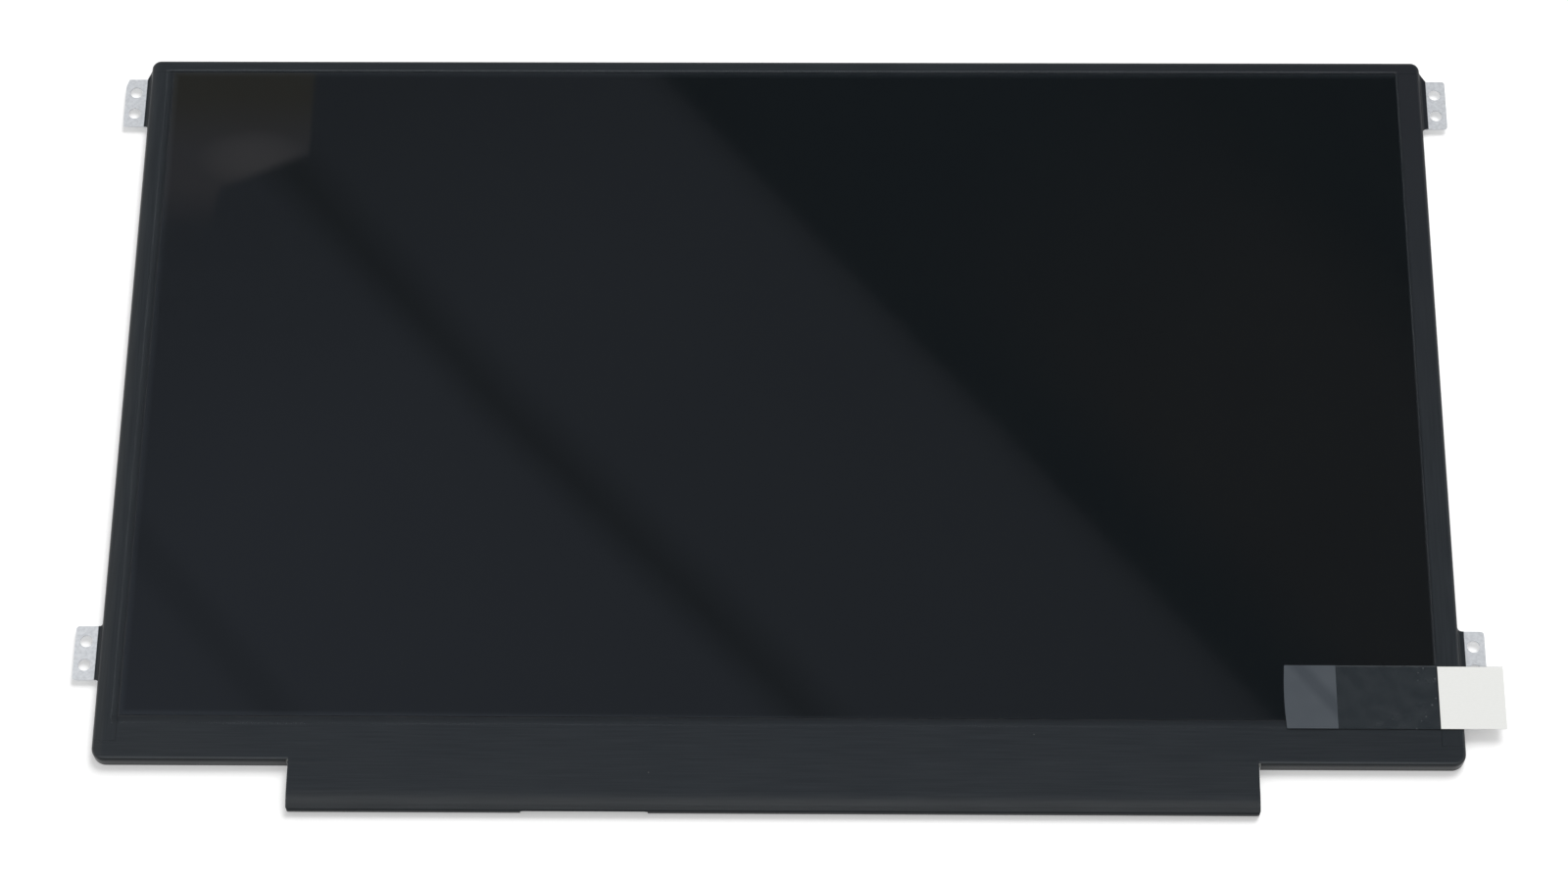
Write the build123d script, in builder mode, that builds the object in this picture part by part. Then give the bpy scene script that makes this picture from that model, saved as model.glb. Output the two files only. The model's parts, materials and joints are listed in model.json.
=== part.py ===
from build123d import *
import os

# A slim 11.6-inch laptop screen panel, lying on its back with the screen up.
# +X runs to the right of the screen, +Y to its top and +Z out of it. The origin is the middle of the
# module's outline, on the rear face that it rests on. Sizes are in millimetres.

os.makedirs("parts", exist_ok=True)

# Picture area and the borders round it
ACTIVE_W = 256.125
ACTIVE_H = 144.0
SIDE_BORDER = 5.9375
TOP_BORDER = 3.55
BOTTOM_BORDER = 9.95
TOP_CORNER_R = 1.9
BOTTOM_CORNER_R = 2.8

# Clearances
FIT = 0.05  # parts that slide or snap together
GLASS_CLEAR = 0.3  # glass and sheets in the frame
STICK_GAP = 0.02  # adhesive under the clear films

# Rear cover of folded sheet
SHEET_T = 0.3
BEND_R = 0.2  # inner radius of its folds
WALL_H = 1.95
WALL_CORNER = 4.0  # its walls stop this far from the corners
RELIEF = 0.4  # width of the slits beside the ears and the flap
PIN_D = 1.6  # frame pins in holes of the base
PIN_INSET = 2.9
PIN_DROP = 40.0  # pins below the top edge
SNAP_L = 8.0  # windows in the walls that catch the frame's hooks
SNAP_H = 0.8
SNAP_Z = 0.9  # lower edge of the windows
SIDE_SNAPS = 3  # on each side
SIDE_SNAP_PITCH = 30.0
TOP_SNAPS = 4
TOP_SNAP_PITCH = 64.0

# Fastening ears
EAR_REACH = 5.3  # beyond the module's edge
EAR_L = 11.4
EAR_Z = 1.0  # underside above the rear face
EAR_CORNER_R = 0.7
EAR_CUT_W = 0.5  # outer corner cut off the upper left ear
EAR_CUT_L = 1.6
EAR_HOLES = 2  # in each ear
EAR_HOLE_D = 2.5
EAR_HOLE_PITCH = 5.0
EAR_HOLE_INSET = 2.25  # hole centres from the tip
EAR_TOP_INSET = 9.65  # upper ears' middle below the top edge
EAR_BOTTOM_INSET = 23.0  # lower ears' middle above the bottom edge

# Backlight stack
REFLECTOR_T = 0.1
GUIDE_T = 0.6
DIFFUSER_T = 0.1
PRISM_T = 0.14
STACK_GAP = 0.05  # air over the sheets
WINDOW_MARGIN = 0.75  # frame window beyond the picture area
SHEET_TAB_L = 12.0  # locating tabs of the sheets
SHEET_TAB_REACH = 1.0
SHEET_TAB_Y = 45.0
LED_L = 3.0
LED_DEPTH = 0.8
LED_PITCH = 8.4
LED_GAP = 0.1  # between the guide's edge and the LEDs
LED_LENS_DEPTH = 0.2
GUIDE_OVERRUN = 1.6  # guide beyond the lower edge of the window
LED_STRIP_T = 0.1
LED_STRIP_H = 5.8
LED_END_MARGIN = 3.4
LED_TAIL_W = 8.0
LED_TAIL_INSET = 9.0  # tail's middle from the right end of the board
LED_TAIL_BOND = 2.6  # length soldered to the board
LED_TAIL_R = 0.4  # bends of the tail

# Glass cell
GLASS_T = 0.5
POLARIZER_T = 0.15
POLARIZER_SIDE = 1.0  # polarizer beyond the picture area
POLARIZER_END = 0.5
CELL_MARGIN = 1.2  # colour filter glass beyond the polarizer
LEDGE_H = 5.2  # array glass below the colour filter glass
SEAT_TAPE_T = 0.1

# Black tapes and films
TAPE_T = 0.1
TAPE_LIFT = 0.05  # lower edge of the wrapped tapes above the rear face
EDGE_R = 0.7  # bend over the front edge
SIDE_TAPE_END = 4.05  # side tapes stop this far above the bottom edge
SEAM = 0.04  # gap between neighbouring tapes
RIGHT_LIP_REACH = 1.3  # tape on the roots of the ears
LEFT_LIP_REACH = 0.9
LIP_COVE_R = 0.6
LIP_FILLET = 0.8  # fillets at its ends, as a share of the reach

# Circuit board flap along the bottom edge
FLAP_W = 189.0
FLAP_X = -0.84
FLAP_REACH = 9.75
FLAP_CORNER_R = 0.7
FLAP_DROP = 0.05  # film on the flap below the film on the module
FLAP_BEND_INSET = 2.6  # where its dome turns down, from the lower end
FLAP_BEND_R = 8.0
FLAP_NOSE_Z = 1.65
FLAP_NOSE_R = 0.6
FLAP_FOLD_Z = 0.35  # underside of the folded film
FLAP_FOLD_END = 0.45  # film stops short of the module's edge
FLAP_FOLD_R = 0.45
CREASE_INSET = 0.75  # crease of the film inside the module's edge
CREASE_R = 3.0
SLIT_DEPTH = 0.45  # slits beside the flap
NOTCH_W = 24.8
NOTCH_DEPTH = 0.1
NOTCH_SLOPE = 0.6
NOTCH_INSET = 57.95  # notch and socket from the left end of the flap

# Circuit board and its parts
BOARD_T = 0.6
BOARD_SIDE_GAP = 0.75
BOARD_EDGE_GAP = 2.2
BOARD_BODY_GAP = 0.3
BOARD_CORNER_R = 0.5
FLEX_T = 0.08
FLEX_W = 34.0
FLEX_NARROW_W = 29.0
FLEX_COUNT = 4
FLEX_BOND = 1.5  # bonded length on the glass
FLEX_BOARD_BOND = 1.8  # bonded length on the board
DRIVER_L = 18.0
DRIVER_W = 1.3
DRIVER_T = 0.3
CONTROLLER_W = 6.0
CONTROLLER_T = 0.85
CONTROLLER_X = 9.0  # from the flap's middle
BIAS_CHIP_W = 4.0
BIAS_CHIP_X = 21.0
LED_CHIP_W = 3.5
LED_CHIP_INSET = 15.0  # from the LED strip's tail
CHIP_T = 0.75
CHIP_CHAMFER = 0.08
MEMORY_L = 3.0
MEMORY_W = 2.0
MEMORY_T = 0.55
MEMORY_X = -3.0
COIL_W = 3.6
COIL_T = 0.95
COIL_CORNER_R = 0.6
COIL_GAP = 1.5  # from the chip that drives it
FUSE_L = 3.2
FUSE_W = 1.6
FUSE_T = 0.5
FUSE_INSET = 6.4  # from the socket's end
CAP_L = 1.6
CAP_W = 0.8
CAP_T = 0.7
CAP_COLUMNS = 4  # in a block
LED_CAP_COLUMNS = 2  # in the block by the LED driver
CAP_ROWS = 2
CAP_PITCH = 2.2
CAP_ROW_PITCH = 4.4
CAP_ROW_GAP = 2.6  # from the part beside it to the first row

# Cable socket
SOCKET_W = 20.6
SOCKET_DEPTH = 4.0
SOCKET_T = 0.95
SOCKET_OVERHANG = 0.25  # mouth beyond the board's edge
SOCKET_WALL = 0.12
SOCKET_TONGUE_T = 0.25
SOCKET_TONGUE_MARGIN = 1.6
SOCKET_BLOCK_DEPTH = 1.5
CONTACT_COUNT = 30
CONTACT_PITCH = 0.5
CONTACT_W = 0.2
CONTACT_T = 0.08
CONTACT_TAIL = 0.8

# Protective film and its pull tab
FILM_T = 0.06
FILM_LEFT = 1.64  # film beyond the polarizer
FILM_RIGHT = 0.14
FILM_TOP = 0.75
FILM_BOTTOM = 1.75
STRIP_T = 0.06
STRIP_L = 42.8
STRIP_H = 13.2
STRIP_OVERHANG = 8.2  # beyond the module's right edge
STRIP_DROP = 0.1  # below the film's lower edge
STRIP_BOW = 0.3
STRIP_CORNER_R = 0.4
PATCH_L = 10.0
PATCH_T = 0.04
GRIP_L = 12.85
GRIP_T = 0.08
GRIP_SETBACK = 0.2  # strip shows above the grip

# Plan sizes that follow
body_w = ACTIVE_W + 2 * SIDE_BORDER
body_h = ACTIVE_H + TOP_BORDER + BOTTOM_BORDER
half_w = body_w / 2
half_h = body_h / 2
active_y = (BOTTOM_BORDER - TOP_BORDER) / 2
cover_half_w = half_w - TAPE_T
cover_half_h = half_h - TAPE_T
bend_out = BEND_R + SHEET_T
bend_mid = BEND_R + SHEET_T / 2
frame_half_w = cover_half_w - SHEET_T - FIT
frame_half_h = cover_half_h - SHEET_T - FIT
polarizer_w = ACTIVE_W + 2 * POLARIZER_SIDE
polarizer_h = ACTIVE_H + 2 * POLARIZER_END
filter_w = polarizer_w + 2 * CELL_MARGIN
filter_h = polarizer_h + 2 * CELL_MARGIN
array_h = filter_h + LEDGE_H
array_y = active_y - LEDGE_H / 2
array_bottom = array_y - array_h / 2
window_w = ACTIVE_W + 2 * WINDOW_MARGIN
window_h = ACTIVE_H + 2 * WINDOW_MARGIN
window_bottom = active_y - window_h / 2
sheet_w = window_w - 2 * GLASS_CLEAR
sheet_h = window_h - 2 * GLASS_CLEAR
sheet_top = active_y + sheet_h / 2
guide_bottom = window_bottom - GUIDE_OVERRUN
guide_h = sheet_top - guide_bottom
led_front = guide_bottom - LED_GAP
led_back = led_front - LED_DEPTH
strip_top = window_bottom - GUIDE_OVERRUN / 2
strip_bottom = strip_top - LED_STRIP_H
strip_w = sheet_w - LED_END_MARGIN
opening_w = polarizer_w + 2 * GLASS_CLEAR
opening_h = polarizer_h + 2 * GLASS_CLEAR
opening_top = active_y + opening_h / 2
side_tape_bottom = -half_h + SIDE_TAPE_END
ear_tip = half_w + EAR_REACH
ear_hole_x = ear_tip - EAR_HOLE_INSET
upper_ear_y = half_h - EAR_TOP_INSET
lower_ear_y = -half_h + EAR_BOTTOM_INSET
pin_x = half_w - PIN_INSET
pin_y = half_h - PIN_DROP
flap_left = FLAP_X - FLAP_W / 2
flap_right = FLAP_X + FLAP_W / 2
flap_bottom = -half_h - FLAP_REACH
board_w = FLAP_W - 2 * BOARD_SIDE_GAP
board_right = flap_right - BOARD_SIDE_GAP
flex_pitch = board_w / FLEX_COUNT
board_top_y = -half_h - BOARD_BODY_GAP
board_bottom_y = flap_bottom + BOARD_EDGE_GAP
board_y = (board_top_y + board_bottom_y) / 2
socket_x = flap_left + NOTCH_INSET
led_tail_x = board_right - LED_TAIL_INSET
snap_side_y = (upper_ear_y + lower_ear_y) / 2

# Levels that follow, from the rear face up
reflector_z = SHEET_T
guide_z = reflector_z + REFLECTOR_T
diffuser_z = guide_z + GUIDE_T
lower_prism_z = diffuser_z + DIFFUSER_T
upper_prism_z = lower_prism_z + PRISM_T
rear_polarizer_z = upper_prism_z + PRISM_T + STACK_GAP
array_z = rear_polarizer_z + POLARIZER_T
seat_z = array_z - SEAT_TAPE_T
filter_z = array_z + GLASS_T
cell_top = filter_z + GLASS_T
tape_top = cell_top + TAPE_T
screen_top = cell_top + POLARIZER_T
ear_top = EAR_Z + SHEET_T
board_top = filter_z
board_z = board_top - BOARD_T
film_low = tape_top + STICK_GAP
film_high = screen_top + STICK_GAP
strip_z = film_high + FILM_T + STICK_GAP
on_strip_z = strip_z + STRIP_T + STICK_GAP
bay_top = diffuser_z + 2 * FIT


def module_outline(inset):
    """The module's outline with its rounded corners, moved in by the inset."""
    with BuildSketch() as plan:
        Rectangle(body_w - 2 * inset, body_h - 2 * inset)
        fillet(plan.vertices().group_by(Axis.Y)[-1], TOP_CORNER_R - inset)
        fillet(plan.vertices().group_by(Axis.Y)[0], BOTTOM_CORNER_R - inset)
    return plan.sketch


def folded_strip(plane, points, radii, thickness, width):
    """A strip of sheet bent along a centre line in the plane, as wide as given along the plane's normal."""
    with BuildPart() as strip:
        with BuildSketch(plane):
            with BuildLine():
                FilletPolyline(*points, radius=radii)
            trace(line_width=thickness)
        extrude(amount=width / 2, both=True)
    return strip.part


def cover_wall(plane, edge, low, high):
    """A wall folded up from the cover's base at a distance from the origin, between two ends along the edge."""
    root = edge - 2 * bend_out
    points = [(root, SHEET_T / 2), (edge - SHEET_T / 2, SHEET_T / 2), (edge - SHEET_T / 2, WALL_H)]
    return folded_strip(plane, points, [bend_mid], SHEET_T, high - low)


def cover_ear(ear_y, cut):
    """A right-hand ear: the sheet steps up from the base and runs out flat, pierced twice."""
    wall_x = cover_half_w - SHEET_T / 2
    ear_z = EAR_Z + SHEET_T / 2
    root = cover_half_w - 2 * bend_out
    points = [(root, SHEET_T / 2), (wall_x, SHEET_T / 2), (wall_x, ear_z), (ear_tip, ear_z)]
    blank = folded_strip(Plane.XZ.offset(-ear_y), points, [bend_mid, bend_mid], SHEET_T, EAR_L)
    with BuildPart() as ear:
        add(blank)
        if cut:
            with BuildSketch(Plane.XY.offset(EAR_Z)):
                with Locations((ear_tip, ear_y + EAR_L / 2)):
                    Polygon((0, 0), (-EAR_CUT_W, 0), (0, -EAR_CUT_L), align=None)
            extrude(amount=SHEET_T, mode=Mode.SUBTRACT)
        fillet(ear.edges().filter_by(Axis.Z).group_by(Axis.X)[-1], EAR_CORNER_R)
        with Locations((ear_hole_x, ear_y, ear_top)):
            with GridLocations(EAR_HOLE_PITCH, EAR_HOLE_PITCH, 1, EAR_HOLES):
                Hole(EAR_HOLE_D / 2)
    return ear.part


def side_wall(low, high):
    """A stretch of the right-hand wall between two heights on the screen."""
    return cover_wall(Plane.XZ.offset(-(low + high) / 2), cover_half_w, low, high)


def end_wall(low, high, top):
    """A stretch of the top or bottom wall between two places along X."""
    middle = (low + high) / 2
    if top:
        return cover_wall(Plane.YZ.offset(middle), cover_half_h, low, high)
    plane = Plane(origin=(middle, 0, 0), x_dir=(0, -1, 0), z_dir=(-1, 0, 0))
    return cover_wall(plane, cover_half_h, low, high)


ear_gap = EAR_L / 2 + RELIEF
side_walls = [
    side_wall(-half_h + WALL_CORNER, lower_ear_y - ear_gap),
    side_wall(lower_ear_y + ear_gap, upper_ear_y - ear_gap),
]
right_ears = [cover_ear(upper_ear_y, False), cover_ear(lower_ear_y, False)]
left_ears = [cover_ear(upper_ear_y, True), cover_ear(lower_ear_y, False)]
end_walls = [
    end_wall(-half_w + WALL_CORNER, half_w - WALL_CORNER, True),
    end_wall(-half_w + WALL_CORNER, flap_left - RELIEF, False),
    end_wall(flap_right + RELIEF, half_w - WALL_CORNER, False),
]

# Rear cover: base, folded walls with snap windows, and four ears
with BuildPart() as rear_cover:
    with BuildSketch():
        add(module_outline(TAPE_T + bend_out))
    extrude(amount=SHEET_T)
    add(side_walls + right_ears)
    mirror(side_walls + left_ears, about=Plane.YZ)
    add(end_walls)
    with Locations((0, snap_side_y, SNAP_Z)):
        with GridLocations(2 * (cover_half_w - SHEET_T / 2), SIDE_SNAP_PITCH, 2, SIDE_SNAPS):
            Box(2 * SHEET_T, SNAP_L, SNAP_H, align=(Align.CENTER, Align.CENTER, Align.MIN), mode=Mode.SUBTRACT)
    with Locations((0, cover_half_h - SHEET_T / 2, SNAP_Z)):
        with GridLocations(TOP_SNAP_PITCH, TOP_SNAP_PITCH, TOP_SNAPS, 1):
            Box(SNAP_L, 2 * SHEET_T, SNAP_H, align=(Align.CENTER, Align.CENTER, Align.MIN), mode=Mode.SUBTRACT)
    with Locations((-pin_x, pin_y, SHEET_T), (pin_x, pin_y, SHEET_T)):
        Hole(PIN_D / 2 + 2 * FIT)
rear_cover.part.label = "rear_cover"
export_step(rear_cover.part, "parts/rear_cover.step")


def snap_hook(plane, edge):
    """A hook on the frame's outside, sloped below, that fills a window of the cover's wall."""
    low = SNAP_Z + 2 * FIT
    high = SNAP_Z + SNAP_H - 2 * FIT
    reach = edge + SHEET_T
    with BuildPart() as hook:
        with BuildSketch(plane):
            Polygon((edge - SHEET_T, low), (edge, low), (reach, (low + high) / 2), (reach, high),
                    (edge - SHEET_T, high), align=None)
        extrude(amount=SNAP_L / 2 - 2 * FIT, both=True)
    return hook.part


side_snap_y = [snap_side_y + (i - (SIDE_SNAPS - 1) / 2) * SIDE_SNAP_PITCH for i in range(SIDE_SNAPS)]
top_snap_x = [(i - (TOP_SNAPS - 1) / 2) * TOP_SNAP_PITCH for i in range(TOP_SNAPS)]
side_hooks = [snap_hook(Plane.XZ.offset(-y), frame_half_w) for y in side_snap_y]
top_hooks = [snap_hook(Plane.YZ.offset(x), frame_half_h) for x in top_snap_x]

# Moulded frame: a ring with a seat for the glass, a bay for the light guide and its LEDs
with BuildPart() as frame:
    with BuildSketch(Plane.XY.offset(SHEET_T)):
        add(module_outline(half_w - frame_half_w))
    extrude(amount=cell_top - SHEET_T)
    fillet(frame.faces().sort_by(Axis.Z)[-1].outer_wire().edges(), EDGE_R - TAPE_T)
    fillet(frame.faces().sort_by(Axis.Z)[0].outer_wire().edges(), BEND_R)
    with BuildSketch(Plane.XY.offset(seat_z)):
        with Locations((0, array_y)):
            Rectangle(filter_w + 2 * GLASS_CLEAR, array_h + 2 * GLASS_CLEAR)
    extrude(amount=cell_top - seat_z, mode=Mode.SUBTRACT)
    with BuildSketch(Plane.XY.offset(SHEET_T)):
        with Locations((0, active_y)):
            Rectangle(window_w, window_h)
    extrude(amount=seat_z - SHEET_T, mode=Mode.SUBTRACT)
    with BuildSketch(Plane.XY.offset(SHEET_T)):
        with Locations((0, window_bottom)):
            Rectangle(window_w, window_bottom - led_back + GLASS_CLEAR, align=(Align.CENTER, Align.MAX))
    extrude(amount=bay_top - SHEET_T, mode=Mode.SUBTRACT)
    with BuildSketch(Plane.XY.offset(SHEET_T)):
        with Locations((0, window_bottom)):
            Rectangle(strip_w + 2 * GLASS_CLEAR, window_bottom - strip_bottom + GLASS_CLEAR,
                      align=(Align.CENTER, Align.MAX))
        with Locations((led_tail_x, window_bottom)):
            Rectangle(LED_TAIL_W + 2 * GLASS_CLEAR, body_h, align=(Align.CENTER, Align.MAX))
    extrude(amount=LED_STRIP_T + FIT, mode=Mode.SUBTRACT)
    with BuildSketch(Plane.XY.offset(diffuser_z - FIT)):
        with Locations((0, SHEET_TAB_Y)):
            Rectangle(window_w + 2 * SHEET_TAB_REACH, SHEET_TAB_L + 2 * GLASS_CLEAR)
    extrude(amount=seat_z - diffuser_z + FIT, mode=Mode.SUBTRACT)
    with BuildSketch(Plane.XY.offset(board_top - FIT)):
        with Locations((FLAP_X, array_y)):
            Rectangle(FLAP_W, body_h, align=(Align.CENTER, Align.MAX))
    extrude(amount=cell_top, mode=Mode.SUBTRACT)
    add(side_hooks + top_hooks)
    mirror(side_hooks, about=Plane.YZ)
    with Locations((-pin_x, pin_y, FIT), (pin_x, pin_y, FIT)):
        Cylinder(PIN_D / 2, SHEET_T, align=(Align.CENTER, Align.CENTER, Align.MIN))
frame.part.label = "frame"
export_step(frame.part, "parts/frame.step")

# Double-sided tape that the glass sits on
with BuildPart() as seat_tape:
    with BuildSketch(Plane.XY.offset(seat_z)):
        with Locations((0, array_y)):
            Rectangle(filter_w, array_h)
        with Locations((0, active_y)):
            Rectangle(window_w, window_h, mode=Mode.SUBTRACT)
    extrude(amount=SEAT_TAPE_T)
seat_tape.part.label = "seat_tape"
export_step(seat_tape.part, "parts/seat_tape.step")

# Reflector sheet, stopping at the LED strip
with BuildPart() as reflector_sheet:
    with BuildSketch(Plane.XY.offset(reflector_z)):
        with Locations((0, sheet_top)):
            Rectangle(sheet_w, sheet_top - strip_top - GLASS_CLEAR, align=(Align.CENTER, Align.MAX))
    extrude(amount=REFLECTOR_T)
reflector_sheet.part.label = "reflector_sheet"
export_step(reflector_sheet.part, "parts/reflector_sheet.step")

# Light guide, reaching down to the LEDs
with BuildPart() as light_guide:
    with BuildSketch(Plane.XY.offset(guide_z)):
        with Locations((0, sheet_top)):
            Rectangle(sheet_w, guide_h, align=(Align.CENTER, Align.MAX))
    extrude(amount=GUIDE_T)
light_guide.part.label = "light_guide"
export_step(light_guide.part, "parts/light_guide.step")

# Optical sheets, with a locating tab at each side
optical_sheets = [
    ("diffuser_sheet", diffuser_z, DIFFUSER_T),
    ("lower_prism_sheet", lower_prism_z, PRISM_T),
    ("upper_prism_sheet", upper_prism_z, PRISM_T),
]
for sheet_name, sheet_z, sheet_t in optical_sheets:
    with BuildPart() as optical_sheet:
        with BuildSketch(Plane.XY.offset(sheet_z)):
            with Locations((0, active_y)):
                Rectangle(sheet_w, sheet_h)
            with Locations((0, SHEET_TAB_Y)):
                Rectangle(sheet_w + 2 * SHEET_TAB_REACH, SHEET_TAB_L)
        extrude(amount=sheet_t)
    optical_sheet.part.label = sheet_name
    export_step(optical_sheet.part, f"parts/{sheet_name}.step")

# LED strip: a flexible circuit under the LEDs, whose tail climbs to the back of the board
strip_mid_z = SHEET_T + LED_STRIP_T / 2
tail_end = board_top_y - LED_TAIL_R
tail_route = [
    (strip_bottom, strip_mid_z),
    (-frame_half_h, strip_mid_z),
    (tail_end, board_z - LED_STRIP_T / 2),
    (tail_end - LED_TAIL_BOND, board_z - LED_STRIP_T / 2),
]
tail_radii = [LED_TAIL_R, LED_TAIL_R]
led_tail = folded_strip(Plane.YZ.offset(led_tail_x), tail_route, tail_radii, LED_STRIP_T, LED_TAIL_W)
with BuildPart() as led_strip:
    with BuildSketch(Plane.XY.offset(SHEET_T)):
        with Locations((0, strip_top)):
            Rectangle(strip_w, LED_STRIP_H, align=(Align.CENTER, Align.MAX))
    extrude(amount=LED_STRIP_T)
    add(led_tail)
led_strip.part.label = "led_strip"
export_step(led_strip.part, "parts/led_strip.step")

# LEDs: a row of packages, each with a recessed lens facing the guide
led_count = int((strip_w - 2 * LED_L) / LED_PITCH) + 1
with BuildPart() as leds:
    with Locations((0, led_front, SHEET_T + LED_STRIP_T)):
        with GridLocations(LED_PITCH, LED_PITCH, led_count, 1):
            Box(LED_L, LED_DEPTH, GUIDE_T, align=(Align.CENTER, Align.MAX, Align.MIN))
    with Locations((0, led_front, SHEET_T + LED_STRIP_T + GUIDE_T / 2)):
        with GridLocations(LED_PITCH, LED_PITCH, led_count, 1):
            Box(LED_L - 2 * LED_LENS_DEPTH, LED_LENS_DEPTH, GUIDE_T - LED_LENS_DEPTH,
                align=(Align.CENTER, Align.MAX, Align.CENTER), mode=Mode.SUBTRACT)
leds.part.label = "leds"
export_step(leds.part, "parts/leds.step")

# Glass cell: rear polarizer, array glass with its driver ledge, colour filter glass, front polarizer
with BuildPart() as rear_polarizer:
    with BuildSketch(Plane.XY.offset(rear_polarizer_z)):
        with Locations((0, active_y)):
            Rectangle(sheet_w, sheet_h)
    extrude(amount=POLARIZER_T)
rear_polarizer.part.label = "rear_polarizer"
export_step(rear_polarizer.part, "parts/rear_polarizer.step")

with BuildPart() as array_glass:
    with BuildSketch(Plane.XY.offset(array_z)):
        with Locations((0, array_y)):
            Rectangle(filter_w, array_h)
    extrude(amount=GLASS_T)
array_glass.part.label = "array_glass"
export_step(array_glass.part, "parts/array_glass.step")

with BuildPart() as filter_glass:
    with BuildSketch(Plane.XY.offset(filter_z)):
        with Locations((0, active_y)):
            Rectangle(filter_w, filter_h)
    extrude(amount=GLASS_T)
filter_glass.part.label = "filter_glass"
export_step(filter_glass.part, "parts/filter_glass.step")

with BuildPart() as front_polarizer:
    with BuildSketch(Plane.XY.offset(cell_top)):
        with Locations((0, active_y)):
            Rectangle(polarizer_w, polarizer_h)
    extrude(amount=POLARIZER_T)
front_polarizer.part.label = "front_polarizer"
export_step(front_polarizer.part, "parts/front_polarizer.step")


def ear_lip(ear_y, run, lip_reach):
    """Tape on the root of a right-hand ear: coved up to the wall, its upper end sloped over the run."""
    lip_z = ear_top + TAPE_T / 2
    wall_x = half_w - TAPE_T / 2
    end = EAR_L / 2
    reach = half_w + lip_reach
    fillet_r = LIP_FILLET * lip_reach
    tail = fillet_r + FIT
    route = [(wall_x, lip_z + LIP_COVE_R + FIT), (wall_x, lip_z), (reach, lip_z)]
    coved = folded_strip(Plane.XZ.offset(-ear_y), route, [LIP_COVE_R], TAPE_T, EAR_L + 2 * (run + tail))
    if run:
        upper_end = [(half_w, end + run), (half_w - TAPE_T, end + run)]
    else:
        upper_end = [(half_w, end), (half_w, end + tail), (half_w - TAPE_T, end + tail)]
    lower_end = [(half_w - TAPE_T, -end - tail), (half_w, -end - tail), (half_w, -end)]
    with BuildPart() as lip:
        add(coved)
        with BuildSketch() as plan:
            with Locations((0, ear_y)):
                Polygon(*lower_end, (reach, -end), (reach, end), *upper_end, align=None)
            roots = plan.vertices().group_by(Axis.X)[1].sort_by(Axis.Y)[1:-1]
            fillet(roots, fillet_r)
        extrude(amount=tape_top, mode=Mode.INTERSECT)
    return lip.part


corner_run = half_h - TOP_CORNER_R - upper_ear_y - EAR_L / 2
right_lips = [ear_lip(upper_ear_y, corner_run, RIGHT_LIP_REACH), ear_lip(lower_ear_y, 0.0, RIGHT_LIP_REACH)]
left_lips = [ear_lip(upper_ear_y, corner_run, LEFT_LIP_REACH), ear_lip(lower_ear_y, 0.0, LEFT_LIP_REACH)]

# Skin of the wrapped edge, slotted for the ears and lipped on their roots, from which the tapes are cut
with BuildPart() as skin:
    with BuildSketch(Plane.XY.offset(TAPE_LIFT)):
        add(module_outline(0))
    extrude(amount=tape_top - TAPE_LIFT)
    fillet(skin.faces().sort_by(Axis.Z)[-1].outer_wire().edges(), EDGE_R)
    offset(amount=-TAPE_T, openings=skin.faces().sort_by(Axis.Z)[0])
    with BuildSketch(Plane.XY.offset(cell_top)):
        with Locations((0, active_y)):
            Rectangle(opening_w, opening_h)
    extrude(amount=2 * TAPE_T, mode=Mode.SUBTRACT)
    for slot_y in (upper_ear_y, lower_ear_y):
        with Locations((-half_w, slot_y, 0), (half_w, slot_y, 0)):
            Box(4 * TAPE_T, EAR_L + 4 * FIT, ear_top, align=(Align.CENTER, Align.CENTER, Align.MIN),
                mode=Mode.SUBTRACT)
    add(right_lips)
    mirror(left_lips, about=Plane.YZ)

# Top tape, over the whole top edge
with BuildPart() as top_tape:
    add(skin.part)
    with BuildSketch():
        with Locations((0, opening_top)):
            Rectangle(2 * body_w, body_h, align=(Align.CENTER, Align.MIN))
    extrude(amount=2 * tape_top, mode=Mode.INTERSECT)
top_tape.part.label = "top_tape"
export_step(top_tape.part, "parts/top_tape.step")

# Side tapes, down to the bottom film
for side_name, side, inner in (("right_tape", 1, Align.MIN), ("left_tape", -1, Align.MAX)):
    with BuildPart() as side_tape:
        add(skin.part)
        with BuildSketch():
            with Locations((side * (opening_w / 2 + SEAM), side_tape_bottom + SEAM)):
                Rectangle(body_w, opening_top - side_tape_bottom - 2 * SEAM, align=(inner, Align.MIN))
        extrude(amount=2 * tape_top, mode=Mode.INTERSECT)
    side_tape.part.label = side_name
    export_step(side_tape.part, f"parts/{side_name}.step")

# Bottom film: over the driver ledge, down the module's edge at both ends, and round the board's flap
crease_y = -half_h + CREASE_INSET
band_mid_z = cell_top + TAPE_T / 2
flap_mid_z = band_mid_z - FLAP_DROP
fold_mid_z = FLAP_FOLD_Z + TAPE_T / 2
flap_outer = flap_bottom + TAPE_T / 2
flap_route = [
    (crease_y + CREASE_INSET, band_mid_z),
    (crease_y, band_mid_z),
    (flap_bottom + FLAP_BEND_INSET, flap_mid_z),
    (flap_outer, FLAP_NOSE_Z),
    (flap_outer, fold_mid_z),
    (-half_h - FLAP_FOLD_END, fold_mid_z),
]
flap_radii = [CREASE_R, FLAP_BEND_R, FLAP_NOSE_R, FLAP_FOLD_R]
flap_strip = folded_strip(Plane.YZ.offset(FLAP_X), flap_route, flap_radii, TAPE_T, FLAP_W)
with BuildPart() as flap_wrap:
    add(flap_strip)
    with BuildSketch() as flap_plan:
        with Locations((FLAP_X, flap_bottom)):
            Rectangle(FLAP_W, 2 * FLAP_REACH, align=(Align.CENTER, Align.MIN))
        fillet(flap_plan.vertices().group_by(Axis.Y)[0], FLAP_CORNER_R)
    extrude(amount=tape_top, mode=Mode.INTERSECT)

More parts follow.
